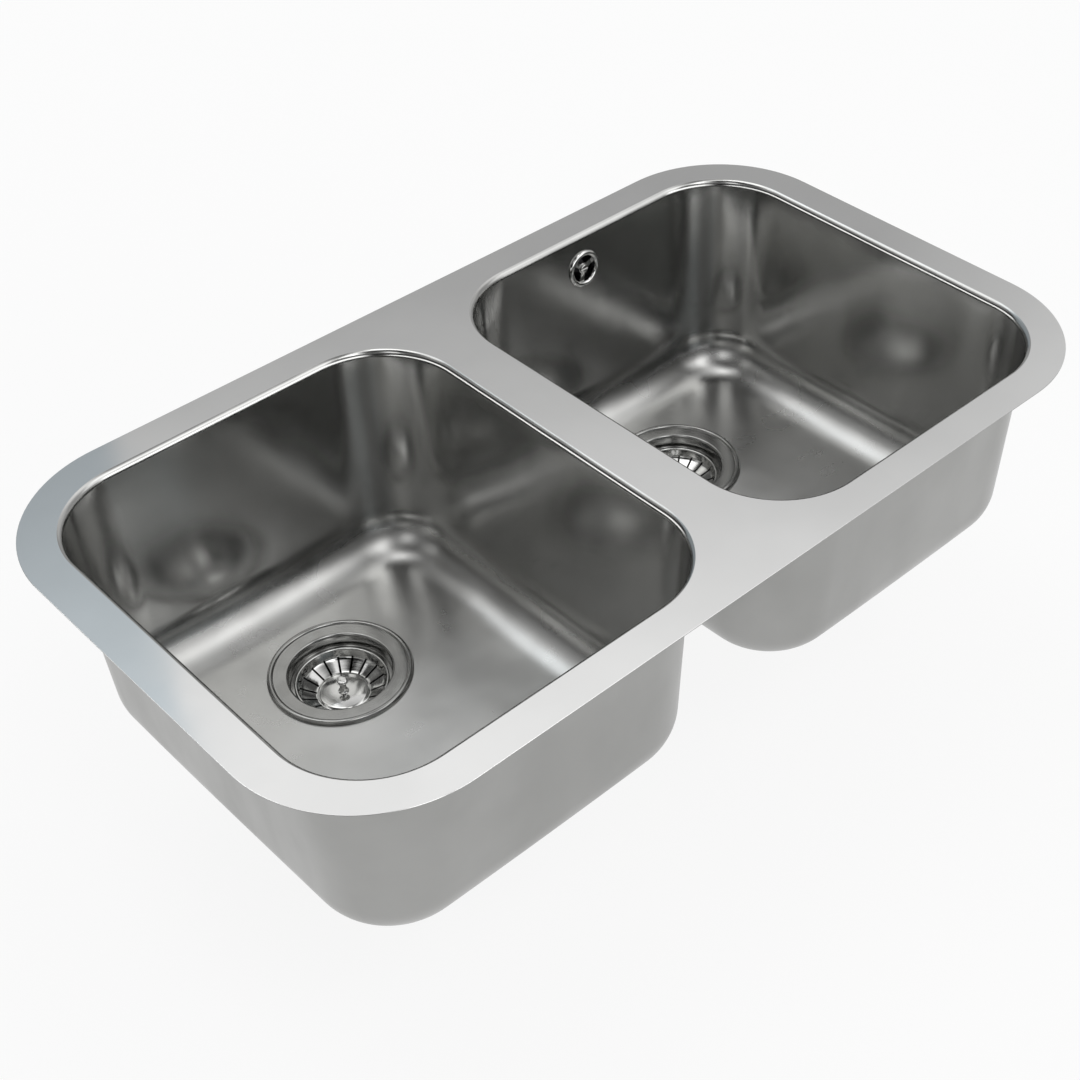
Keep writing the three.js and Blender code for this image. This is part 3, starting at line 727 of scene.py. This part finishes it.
def basket(label):
    """A rolled rim, a short wall, a sloping slotted ring and a raised disc."""
    foot = DISC_TOP - DISC_RISE
    wall_radius = BASKET_RADIUS - 2 * BASKET_ROLL
    shoulder = (wall_radius - 3.4, foot + 4.9)
    path = [
        (BASKET_RADIUS, -THROAT_DEPTH + FIT),
        *arc(BASKET_RADIUS - BASKET_ROLL, BASKET_RIM_TOP - BASKET_ROLL, BASKET_ROLL, 0, 180,
             14),
        (wall_radius - 1.2, shoulder[1] + 2.4),
        (wall_radius - 1.5, shoulder[1] + 1.5),
        (wall_radius - 2.2, shoulder[1] + 0.75),
        (shoulder[0] - 0.6, shoulder[1] - 0.2),
        (BASKET_DISC + DISC_RISE + 2.4, foot + 1.1),
        (BASKET_DISC + DISC_RISE + 1.0, foot + 0.35),
        (BASKET_DISC + DISC_RISE, foot),
        (BASKET_DISC + 0.9, foot + 0.1),
        (BASKET_DISC + 0.2, foot + 0.5),
        (BASKET_DISC - 0.6, foot + 1.1),
        (BASKET_DISC - DISC_RISE, DISC_TOP),
        (STEM_RADIUS + FIT, DISC_TOP),
    ]
    piece = lathe(label + "_basket_shell", walled(path, BASKET_WALL), 12 * SLOT_COUNT)
    inner = BASKET_DISC + DISC_RISE
    outer = wall_radius + BASKET_WALL
    top = shoulder[1] + 1.9
    height = top - foot + 3 * BASKET_WALL
    cutters = []
    for i in range(SLOT_COUNT):
        size = (outer - inner, SLOT_WIDTH, height)
        cutter = block("slot", size, ((inner + outer) / 2, 0, top - height / 2))
        cutters.append(moved(cutter, (0, 0, 0), (0, 0, i * 2 * math.pi / SLOT_COUNT)))
    boolean(piece, joined("slots", cutters), "DIFFERENCE")
    return piece


def knob(label):
    """A knob with a stem that passes through the basket and its stopper."""
    crown = DISC_TOP + KNOB_HEIGHT
    neck = crown - 4.2
    tip = NUT_TOP - NUT_HEIGHT - 1
    outline = [
        (0, crown),
        (1.5, crown - 0.06),
        *arc(KNOB_RADIUS - 2, crown - 2.2, 2, 84, 0, 8),
        (KNOB_RADIUS, neck + 1.4),
        (KNOB_RADIUS - 0.4, neck + 0.9),
        (STEM_RADIUS + 0.8, neck),
        (STEM_RADIUS, neck - 0.8),
        (STEM_RADIUS, DISC_TOP + 2.4),
        (STEM_RADIUS + 0.6, DISC_TOP + 1.4),
        (STEM_RADIUS + 1.8, DISC_TOP + FIT),
        (STEM_RADIUS, DISC_TOP + FIT),
        (STEM_RADIUS, tip + 0.4),
        (STEM_RADIUS - 0.4, tip),
        (0, tip),
    ]
    return lathe(label + "_knob", outline, 64)


def stopper(label):
    """The rubber cup under a basket."""
    lip = CUP_SEAT_RADIUS - FIT
    path = [
        (lip, STOPPER_FOOT),
        (lip, STOPPER_FOOT + STOPPER_THICKNESS),
        (BASKET_DISC - 3, STOPPER_TOP),
        (STEM_RADIUS + FIT, STOPPER_TOP),
    ]
    return lathe(label + "_stopper", walled(path, STOPPER_THICKNESS), 96)


def slotted_screw(name, shank, head, height, seat, tip):
    """A pan head screw with a slot, its head's foot at seat and its shank's end at tip."""
    crown = seat + height
    outline = [
        (0, crown),
        *arc(head - height / 2, crown - height / 2, height / 2, 90, 0, 6),
        (head, seat),
        (shank, seat),
        (shank, tip + 0.5),
        (shank - 0.5, tip),
        (0, tip),
    ]
    screw = lathe(name, outline, 64)
    slot = block("slot", (3 * head, DRIVER_SLOT, height), (0, 0, crown))
    return boolean(screw, slot, "DIFFERENCE")


def waste_body(label, inlet):
    """The plastic body under a drain: collar, bell, cone, ribs, screw boss and outlet."""
    cone_top = -CUP_DEPTH + 10
    cone_foot = BODY_BOTTOM + 10
    cone_in = BELL_RADIUS - 8
    bell_inner = BELL_RADIUS - BODY_WALL
    cone_inner = cone_in - BODY_WALL
    end = BODY_BOTTOM - OUTLET_LENGTH
    thread = []
    root = OUTLET_RADIUS - THREAD_DEPTH
    for i in range(THREAD_TURNS):
        z = BODY_BOTTOM - THREAD_DROP - i * THREAD_PITCH
        thread += [(OUTLET_RADIUS, z), (root, z - 1.0), (root, z - 1.4),
                   (OUTLET_RADIUS, z - 2.2)]
    outline = [
        (COLLAR_RADIUS - 0.5, BODY_TOP),
        (COLLAR_RADIUS, BODY_TOP - 0.5),
        (COLLAR_RADIUS, BODY_TOP - COLLAR_THICKNESS + 0.8),
        (COLLAR_RADIUS - 0.8, BODY_TOP - COLLAR_THICKNESS),
        (BELL_RADIUS + 1.5, BODY_TOP - COLLAR_THICKNESS - 0.6),
        (BELL_RADIUS, BODY_TOP - COLLAR_THICKNESS - 2),
        (BELL_RADIUS, cone_top + 2),
        (BELL_RADIUS - 0.6, cone_top - 1.5),
        (cone_in + 0.5, cone_foot + 1.5),
        (cone_in - 1.5, cone_foot - 1.0),
        (OUTLET_RADIUS + 3, BODY_BOTTOM + 0.6),
        (OUTLET_RADIUS + 1, BODY_BOTTOM - 0.6),
        (OUTLET_RADIUS, BODY_BOTTOM - 2),
        *thread,
        (OUTLET_RADIUS, end + 0.8),
        (OUTLET_RADIUS - 0.8, end),
        (OUTLET_BORE + 0.4, end),
        (OUTLET_BORE, end + 0.4),
        (OUTLET_BORE, BODY_BOTTOM),
        (OUTLET_RADIUS, BODY_BOTTOM + 4),
        (cone_inner, cone_foot + BODY_WALL),
        (bell_inner, cone_top),
        (bell_inner, BODY_TOP),
    ]
    piece = lathe(label + "_body", outline, 96)
    rib_top = INSERT_TOP - 1
    rib_foot = BODY_BOTTOM + 2
    middle = (0, 0, (rib_top + rib_foot) / 2)
    reach = BODY_WALL / 2
    inside = [(0, cone_top), (bell_inner + reach, cone_top), (cone_inner + reach, cone_foot),
              (OUTLET_RADIUS, BODY_BOTTOM + 1), (0, BODY_BOTTOM + 1)]
    for size in ((2 * bell_inner, RIB_THICKNESS, rib_top - rib_foot),
                 (RIB_THICKNESS, 2 * bell_inner, rib_top - rib_foot)):
        rib = boolean(block("rib", size, middle), lathe("inside", inside, 96), "INTERSECT")
        boolean(piece, rib, "UNION")
    socket = INSERT_RADIUS + FIT
    foot = INSERT_TOP - INSERT_LENGTH - FIT
    boolean(piece, tube("boss", 0, socket + BOSS_WALL, rib_foot, INSERT_TOP, 64), "UNION")
    boolean(piece, tube("bore", 0, socket, foot, INSERT_TOP + 1, 64), "DIFFERENCE")
    if inlet:
        def spigot(low, high, radius, edge):
            made = tube("spigot", 0, radius, low, high, 64, edge)
            return moved(made, (0, 0, -PIPE_DROP), (-math.pi / 2, 0, 0))

        boolean(piece, spigot(BELL_RADIUS - reach, INLET_END, PIPE_RADIUS, 0.5), "UNION")
        cut = spigot(bell_inner - BODY_WALL, INLET_END + 1, PIPE_RADIUS - PIPE_WALL, 0)
        boolean(piece, cut, "DIFFERENCE")
    return piece


def strainer_waste(side, label):
    """Everything visible of one waste, with the lift-out pieces on the basket's body."""
    place = (side * DRAIN_ACROSS, DRAIN_BACK, -BOWL_DEPTH)
    unit = label + "_basket_unit"

    def put(piece, body, material, slot, node, sharp=32.0):
        settle(piece, body, material, label + "_" + node, sharp)
        piece.location = Vector(place) * MM
        return piece

    put(flange(label), "root", flange_steel, "polished_steel", "strainer_flange", 40)
    put(basket(label), unit, basket_steel, "polished_steel", "basket", 50)
    put(knob(label), unit, bright_steel, "polished_steel", "basket_knob")
    put(stopper(label), unit, black_rubber, "black_rubber", "stopper_seal")
    screw = slotted_screw(label + "_screw", SCREW_RADIUS, *SCREW_HEAD, -CUP_DEPTH,
                          INSERT_TOP - INSERT_LENGTH + 1)
    put(screw, "root", bright_steel, "polished_steel", "centre_screw")
    put(waste_body(label, side > 0), "root", black_plastic, "black_plastic", "waste_body")


# ------------------------------------------------------------------ overflow


def grille():
    """The overflow's ring with three spokes and a hub."""
    crown = GRILLE_RIM / 2
    collar = GRILLE_BORE + GRILLE_COLLAR_WALL
    face = []
    for angle in np.linspace(0, math.pi, 16):
        face.append((GRILLE_BORE + crown + crown * math.cos(angle),
                     FIT + (GRILLE_RISE - FIT) * math.sin(angle)))
    outline = [*face, (GRILLE_BORE, -GRILLE_COLLAR), (collar, -GRILLE_COLLAR), (collar, FIT)]
    piece = lathe("overflow_ring", outline, 96)
    reach = GRILLE_BORE + GRILLE_COLLAR_WALL / 2
    for i in range(SPOKE_COUNT):
        spoke = block("spoke", (reach, SPOKE_WIDTH, SPOKE_THICKNESS),
                      (reach / 2, 0, -SPOKE_THICKNESS))
        moved(spoke, (0, 0, 0), (0, 0, SPOKE_TURN + i * 2 * math.pi / SPOKE_COUNT))
        boolean(piece, spoke, "UNION")
    hub = tube("hub", 0, HUB_RADIUS, -1.6 * SPOKE_THICKNESS, -FIT, 48, 0.2)
    boolean(piece, hub, "UNION")
    bore = tube("bore", 0, OVERFLOW_SCREW_RADIUS + FIT, -GRILLE_COLLAR - 1, FIT, 48)
    return bevelled(boolean(piece, bore, "DIFFERENCE"), 0.2)


def housing():
    """The pot behind the overflow, with its spigot downwards."""
    floor = HOUSING_BACK + HOUSING_WALL
    top = HOUSING_RADIUS - 3 * HOUSING_WALL

    def down(radius, start, end):
        made = tube("down", 0, radius, start, end, 64)
        return moved(made, (0, 0, SPIGOT_AXIS), (math.pi / 2, 0, 0))

    piece = tube("overflow_pot", 0, HOUSING_RADIUS, HOUSING_BACK, HOUSING_FACE, 96, 0.6)
    boolean(piece, down(PIPE_RADIUS, top, -SPIGOT_END), "UNION")
    pocket = tube("pocket", 0, HOUSING_RADIUS - HOUSING_WALL, floor, HOUSING_FACE + 1, 96)
    boolean(piece, pocket, "DIFFERENCE")
    boolean(piece, down(PIPE_RADIUS - PIPE_WALL, top, -SPIGOT_END + 1), "DIFFERENCE")
    boss = tube("boss", 0, HOUSING_BOSS, floor - 0.5, HOUSING_FACE - 3, 48)
    boolean(piece, boss, "UNION")
    hole = tube("hole", 0, OVERFLOW_SCREW_RADIUS + FIT, floor + 0.5, HOUSING_FACE, 48)
    return boolean(piece, hole, "DIFFERENCE")


def pipe_nut(name):
    """A nut with rounded grips, along Y."""
    outer, bore = [], []
    count = NUT_GRIP_COUNT * 8
    inside = PIPE_RADIUS + FIT
    for i in range(count):
        angle = 2 * math.pi * i / count
        groove = 0.5 - 0.5 * math.cos(NUT_GRIP_COUNT / 2 * angle)
        radius = PIPE_RADIUS + NUT_WALL - NUT_GRIP * groove ** 2
        outer.append((radius * math.cos(angle), radius * math.sin(angle)))
        bore.append((inside * math.cos(angle), inside * math.sin(angle)))
    half = NUT_LENGTH / 2
    edge = NUT_EDGE
    vertices, rows = [], []
    for shape, z, shrink in ((bore, -half, 0), (outer, -half, edge), (outer, -half + edge, 0),
                             (outer, half - edge, 0), (outer, half, edge), (bore, half, 0)):
        rows.append(range(len(vertices), len(vertices) + count))
        for x, y in shape:
            keep = 1 - shrink / math.hypot(x, y)
            vertices.append((x * keep, y * keep, z))
    faces = []
    for a, b in zip(rows, rows[1:] + rows[:1]):
        for k in range(count):
            n = (k + 1) % count
            faces.append((a[k], a[n], b[n], b[k]))
    return moved(mesh_object(name, vertices, faces), (0, 0, 0), (math.pi / 2, 0, 0))


def pipe():
    """A formed pipe from the housing's spigot down behind the bowl to the waste's inlet."""
    turn = Euler((math.pi / 2 - WALL_TILT, 0, 0)).to_matrix()
    joint = Vector((DRAIN_ACROSS, DRAIN_BACK + INLET_END + FIT, -BOWL_DEPTH - PIPE_DROP))

    def along(length):
        local = turn @ Vector((0, SPIGOT_END - FIT - length, SPIGOT_AXIS))
        return local + Vector((OVERFLOW_ACROSS, OVERFLOW_BACK, -OVERFLOW_DROP))

    def behind(length):
        return joint + Vector((0, length, 0))

    controls = [along(NUT_LENGTH), along(NUT_LENGTH + PIPE_BEND),
                behind(NUT_LENGTH + PIPE_BEND / 3), behind(NUT_LENGTH)]
    route = [along(0)]
    for i in range(PIPE_STEPS + 1):
        t = i / PIPE_STEPS
        weights = ((1 - t) ** 3, 3 * t * (1 - t) ** 2, 3 * t * t * (1 - t), t ** 3)
        route.append(sum((w * c for w, c in zip(weights, controls)), Vector()))
    route.append(behind(0))
    sides = PIPE_SIDES
    up = Vector((1, 0, 0))
    rows, vertices = [], []
    for radius in (PIPE_RADIUS, PIPE_RADIUS - PIPE_WALL):
        skin = []
        for i, point in enumerate(route):
            ahead = (route[min(i + 1, len(route) - 1)] - route[max(i - 1, 0)]).normalized()
            side = (up - ahead * up.dot(ahead)).normalized()
            other = ahead.cross(side)
            skin.append(range(len(vertices), len(vertices) + sides))
            for k in range(sides):
                angle = 2 * math.pi * k / sides
                vertices.append(point + side * radius * math.cos(angle)
                                + other * radius * math.sin(angle))
        rows += skin if not rows else skin[::-1]
    faces = []
    for a, b in zip(rows, rows[1:] + rows[:1]):
        for k in range(sides):
            n = (k + 1) % sides
            faces.append((a[k], a[n], b[n], b[k]))
    return mesh_object("overflow_tube", vertices, faces)


def overflow():
    """Everything visible of the overflow."""
    put = [
        (grille(), bright_steel, "polished_steel", "overflow_grille"),
        (slotted_screw("overflow_pin", OVERFLOW_SCREW_RADIUS, *OVERFLOW_SCREW_HEAD, 0.0,
                       HOUSING_BACK + 2 * HOUSING_WALL),
         bright_steel, "polished_steel", "overflow_screw"),
        (housing(), black_plastic, "black_plastic", "overflow_housing"),
        (moved(pipe_nut("upper_nut"), (0, SPIGOT_END, SPIGOT_AXIS)),
         black_plastic, "black_plastic", "overflow_top_nut"),
    ]
    for piece, material, slot, node in put:
        settle(on_back_wall(piece), "root", material, node)
    lower = moved(pipe_nut("lower_nut"), (DRAIN_ACROSS, DRAIN_BACK + INLET_END + FIT,
                                          -BOWL_DEPTH - PIPE_DROP))
    settle(lower, "root", black_plastic, "overflow_bottom_nut")
    settle(pipe(), "root", black_plastic, "overflow_pipe")


rim()
bowl(-1, "left_bowl_shell")
bowl(1, "right_bowl_shell")
strainer_waste(-1, "left")
strainer_waste(1, "right")
overflow()

# The small inner pieces keep their CAD meshes.
for node, material in (("flange_seal", black_rubber), ("body_seal", black_rubber),
                       ("screw_insert", turned_brass), ("stopper_nut", bright_steel)):
    for label in ("left", "right"):
        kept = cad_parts[label + "_" + node].data
        kept.materials.clear()
        kept.materials.append(material)
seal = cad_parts["overflow_seal"].data
seal.materials.clear()
seal.materials.append(black_rubber)

# ------------------------------------------------------------------ floor, light and camera

CAMERA_PLACE = (-0.71658, -0.82655, 0.83511)
CAMERA_TURN = (48.786, 0.557, -43.593)
IMAGE_SIZE = 1080.0
FOCAL_PIXELS = 1792.55
CENTRE_ACROSS = 628.8
SENSOR = 36.0

FLOOR_SIZE = 12.0
FLOOR_GAP = 0.0005
FLOOR_PLAIN = 0.88

# Soft boxes as seen from the sink, in degrees: azimuth, half width, edge, lowest and highest
# elevation, edge, and level.
SOFT_BOXES = (
    (0, 66.8, 0.6, -9, 60, 8, 0.45),
    (0, 66.8, 0.6, 39.5, 72, 9.5, 0.62),
    (15, 18, 6, 15, 38, 6, 0.25),
    (-20, 45, 8, 52, 66, 5, 0.35),
    (102, 32, 4, 50, 68, 4, 1.40),
    (232, 75, 8, 33, 57, 7, 0.20),
    (135, 22, 8, 33, 57, 7, 0.45),
    (308, 20, 6, 18, 56, 6, 0.85),
    (254, 10, 4, 47, 60, 4, 1.70),
    (206, 10, 4, 40, 58, 4, 1.50),
    (270, 15, 6, 53, 78, 6, 2.80),
    (165, 50, 8, -12, 12, 5, 2.60),
    (270, 30, 8, 5, 25, 5, 2.60),
    (105, 40, 8, 66, 95, 6, 2.20),
    (0, 180, 1, 80, 99, 6, 1.40),
)
# A bluish window beside them.
WINDOW_BOXES = (
    (87, 20.2, 0.6, 10, 60, 6, 0.45),
    (87, 20.2, 0.6, 41, 60, 6, 0.35),
)
WINDOW_COLOR = (0.91, 1.0, 1.06)


def make_floor():
    """A plain pale floor just below the object, which keeps its shadow."""
    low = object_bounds()[0][2] - FLOOR_GAP
    half = FLOOR_SIZE / 2
    mesh = bpy.data.meshes.new("floor")
    corners = [(-half, -half, low), (half, -half, low), (half, half, low), (-half, half, low)]
    mesh.from_pydata(corners, [], [(0, 1, 2, 3)])
    piece = bpy.data.objects.new("floor", mesh)
    bpy.context.scene.collection.objects.link(piece)
    material, shader = new_material("floor_paper", (0.9, 0.9, 0.9), 0.0, 0.9)
    tree = material.node_tree
    glow = tree.nodes.new("ShaderNodeEmission")
    mix = tree.nodes.new("ShaderNodeMixShader")
    share = arithmetic(tree, "MULTIPLY", direct_rays(tree), FLOOR_PLAIN)
    tree.links.new(share, mix.inputs["Fac"])
    tree.links.new(shader.outputs["BSDF"], mix.inputs[1])
    tree.links.new(glow.outputs["Emission"], mix.inputs[2])
    tree.links.new(mix.outputs["Shader"], tree.nodes["Material Output"].inputs["Surface"])
    mesh.materials.append(material)


def direct_rays(tree):
    """1 for camera, glossy and transmission rays, 0 for the rest."""
    path = tree.nodes.new("ShaderNodeLightPath")
    total = path.outputs["Is Camera Ray"]
    for name in ("Is Glossy Ray", "Is Transmission Ray"):
        total = arithmetic(tree, "MAXIMUM", total, path.outputs[name])
    return total


def falling(tree, value, end, edge):
    """1 below an angle in degrees and 0 above it, with a soft edge."""
    node = tree.nodes.new("ShaderNodeMapRange")
    node.interpolation_type = "SMOOTHSTEP"
    node.inputs["From Min"].default_value = math.radians(end - edge)
    node.inputs["From Max"].default_value = math.radians(end + edge)
    node.inputs["To Min"].default_value = 1.0
    node.inputs["To Max"].default_value = 0.0
    tree.links.new(value, node.inputs["Value"])
    return node.outputs["Result"]


def soft_boxes(tree, azimuth, elevation, boxes):
    """The level of all soft boxes together, by direction."""
    total = 0.0
    for across, half_width, side_edge, low, high, edge, level in boxes:
        turned = arithmetic(tree, "SUBTRACT", azimuth, math.radians(across))
        turned = arithmetic(tree, "WRAP", turned, math.pi, -math.pi)
        turned = arithmetic(tree, "ABSOLUTE", turned)
        inside = falling(tree, turned, half_width, side_edge)
        below = falling(tree, elevation, low, edge)
        upward = arithmetic(tree, "SUBTRACT", falling(tree, elevation, high, edge), below)
        box = arithmetic(tree, "MULTIPLY", inside, upward)
        total = arithmetic(tree, "MULTIPLY_ADD", box, level, total)
    return total


def make_world():
    """White to the camera; to everything else a dim studio with soft boxes round the sink."""
    world = bpy.data.worlds.new("studio")
    bpy.context.scene.world = world
    world.use_nodes = True
    tree = world.node_tree
    place = tree.nodes.new("ShaderNodeTexCoord")
    axes = tree.nodes.new("ShaderNodeSeparateXYZ")
    tree.links.new(place.outputs["Generated"], axes.inputs["Vector"])
    azimuth = arithmetic(tree, "ARCTAN2", axes.outputs["Y"], axes.outputs["X"])
    elevation = arithmetic(tree, "ARCSINE", axes.outputs["Z"])
    white = tree.nodes["Background"]
    white.inputs["Color"].default_value = (1.0, 1.0, 1.0, 1.0)
    path = tree.nodes.new("ShaderNodeLightPath")
    level = tree.nodes.new("ShaderNodeMix")
    level.data_type = "FLOAT"
    level.inputs["B"].default_value = 1.0
    tree.links.new(path.outputs["Is Camera Ray"], level.inputs["Factor"])
    tree.links.new(soft_boxes(tree, azimuth, elevation, SOFT_BOXES), level.inputs["A"])
    tree.links.new(level.outputs["Result"], white.inputs["Strength"])
    window = tree.nodes.new("ShaderNodeBackground")
    window.inputs["Color"].default_value = (*WINDOW_COLOR, 1.0)
    tree.links.new(soft_boxes(tree, azimuth, elevation, WINDOW_BOXES),
                   window.inputs["Strength"])
    both = tree.nodes.new("ShaderNodeAddShader")
    tree.links.new(white.outputs["Background"], both.inputs[0])
    tree.links.new(window.outputs["Background"], both.inputs[1])
    tree.links.new(both.outputs["Shader"], tree.nodes["World Output"].inputs["Surface"])


def make_camera():
    """The photo's camera, with the image's centre shifted sideways."""
    data = bpy.data.cameras.new("camera")
    data.sensor_width = SENSOR
    data.lens = FOCAL_PIXELS / IMAGE_SIZE * SENSOR
    data.shift_x = (IMAGE_SIZE / 2 - CENTRE_ACROSS) / IMAGE_SIZE
    data.clip_start = 0.01
    camera = bpy.data.objects.new("camera", data)
    camera.location = CAMERA_PLACE
    camera.rotation_euler = Euler([math.radians(a) for a in CAMERA_TURN])
    bpy.context.scene.collection.objects.link(camera)
    bpy.context.scene.camera = camera


make_floor()
make_world()
make_camera()
bpy.context.scene.view_settings.view_transform = "Standard"
